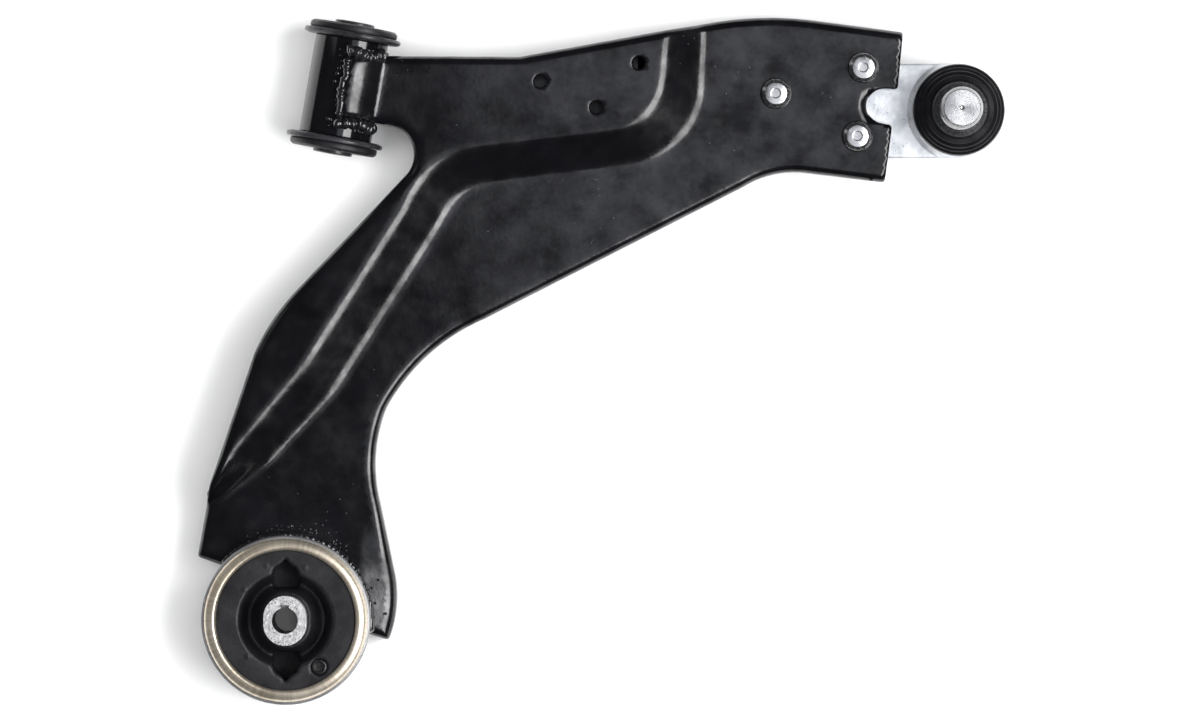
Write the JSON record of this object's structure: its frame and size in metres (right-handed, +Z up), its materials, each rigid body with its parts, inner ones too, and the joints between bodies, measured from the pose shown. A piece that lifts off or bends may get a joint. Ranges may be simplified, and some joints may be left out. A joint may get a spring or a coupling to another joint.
{
  "type": "suspension control arm",
  "caption": "L-shaped pressed-steel lower suspension arm with a horizontal front bush, a vertical fluid-filled rear bush and a riveted ball joint with an upright stud.",
  "frame": {"origin": "on the rear bush's bore axis, at the lower end face of its inner sleeve", "axes": "+Z up along the rear bush's bore, to the side the ball stud points; +X outboard, to the ball joint; +Y forward, to the front bush"},
  "size_m": [0.4084, 0.3475, 0.088],
  "materials": {
    "black_coat": "black electrophoretic coat, satin, worn and mottled",
    "weld_bead": "black coat over weld bead",
    "zinc_plate": "zinc plated forging",
    "cover_steel": "zinc plated pressing",
    "rivet_steel": "bright plated rivet",
    "stud_steel": "turned bright steel",
    "boot_rubber": "satin black moulded rubber",
    "boot_ring_steel": "spring steel ring",
    "neck_ring": "black moulded ring",
    "seat_plastic": "acetal ball seat",
    "gold_passivate": "gold chromate passivated steel",
    "bush_can_steel": "phosphated steel flange",
    "bush_rubber": "matt black natural rubber",
    "sleeve_steel": "blasted zinc plated steel sleeve",
    "channel_plastic": "glass filled nylon",
    "plug_plastic": "dark sealing plug"
  },
  "bodies": {
    "arm": {"upper_shell": "black_coat", "lower_shell": "black_coat", "front_bush_sleeve": "black_coat", "rear_bush_housing": "black_coat", "front_sleeve_weld": "weld_bead", "rear_housing_weld": "weld_bead", "seam_weld": "weld_bead", "ball_joint_plate": "zinc_plate", "ball_joint_housing": "zinc_plate", "ball_joint_cover": "cover_steel", "rivets": "rivet_steel", "dust_boot": "boot_rubber", "ball_seat": "seat_plastic", "rear_bush_can": "gold_passivate", "front_bush_can_front": "bush_can_steel", "front_bush_can_rear": "bush_can_steel", "rear_bush_rubber": "bush_rubber", "front_bush_rubber_front": "bush_rubber", "front_bush_rubber_rear": "bush_rubber", "rear_bush_channel_ring": "channel_plastic", "rear_bush_fill_plug": "plug_plastic"},
    "front_bush_core": {"front_bush_inner_tube": "sleeve_steel"},
    "rear_bush_core": {"rear_bush_inner_sleeve": "sleeve_steel"},
    "boot_carrier": {"boot_ring_lower": "boot_ring_steel"},
    "boot_neck": {"boot_ring_upper": "neck_ring"},
    "stud": {"ball_stud": "stud_steel"}
  },
  "joints": [
    {"name": "front_bush_twist", "type": "hinge", "parent": "arm", "child": "front_bush_core", "pos_m": [0.02905, 0.26875, 0.025], "axis": [0.1736, 0.9848, 0], "range_deg": [-20, 20], "stiffness_Nm_per_rad": 60, "deforming": ["front_bush_rubber_front", "front_bush_rubber_rear"]},
    {"name": "rear_bush_tilt", "type": "hinge", "parent": "arm", "child": "rear_bush_core", "pos_m": [0, 0, 0.024], "axis": [0.1075, 0.9942, 0.0037], "range_deg": [-8, 8], "stiffness_Nm_per_rad": 90, "deforming": ["rear_bush_rubber"]},
    {"name": "ball_azimuth", "type": "hinge", "parent": "arm", "child": "boot_carrier", "pos_m": [0.3394, 0.2573, 0.017], "axis": [0, 0, 1], "range_deg": [-90, 90]},
    {"name": "ball_tilt", "type": "hinge", "parent": "boot_carrier", "child": "boot_neck", "pos_m": [0.3394, 0.2573, 0.017], "axis": [1, 0, 0], "range_deg": [-22, 22], "deforming": ["dust_boot"]},
    {"name": "ball_spin", "type": "hinge", "parent": "boot_neck", "child": "stud", "pos_m": [0.3394, 0.2573, 0.017], "axis": [0, 0, 1], "continuous": true}
  ]
}
